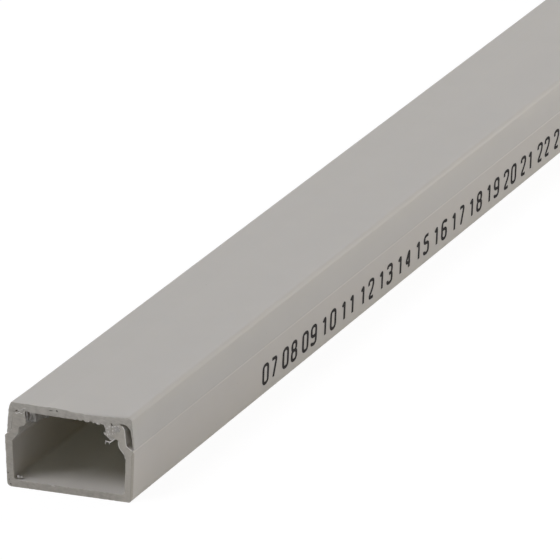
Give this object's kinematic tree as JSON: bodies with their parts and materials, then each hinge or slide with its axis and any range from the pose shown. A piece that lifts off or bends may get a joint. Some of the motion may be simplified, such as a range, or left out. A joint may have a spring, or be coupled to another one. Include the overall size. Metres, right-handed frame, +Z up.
{
  "type": "cord cover raceway",
  "caption": "Straight length of small surface cable trunking: a U-shaped wall channel with inward lips and a clip-on lid with thin skirts, hiding cords along a wall or skirting.",
  "frame": {"origin": "middle of the base channel's flat back face, halfway along the length", "axes": "+X across the raceway, towards the side that the lid has shifted to; +Y along its length, away from the sawn end in the picture; +Z up from the back face to the lid"},
  "size_m": [0.0252, 1, 0.0161],
  "materials": {
    "base_upvc": "light warm grey rigid PVC, extruded satin surface, sawn matt ends",
    "lid_upvc": "light warm grey rigid PVC, extruded satin surface, sawn matt ends"
  },
  "bodies": {
    "base": {"base_channel": "base_upvc"},
    "lid": {"snap_lid": "lid_upvc"}
  },
  "joints": [
    {"name": "lid_slide", "type": "slide", "parent": "base", "child": "lid", "axis": [0, 1, 0], "range_m": [-0.5, 0.5]}
  ]
}
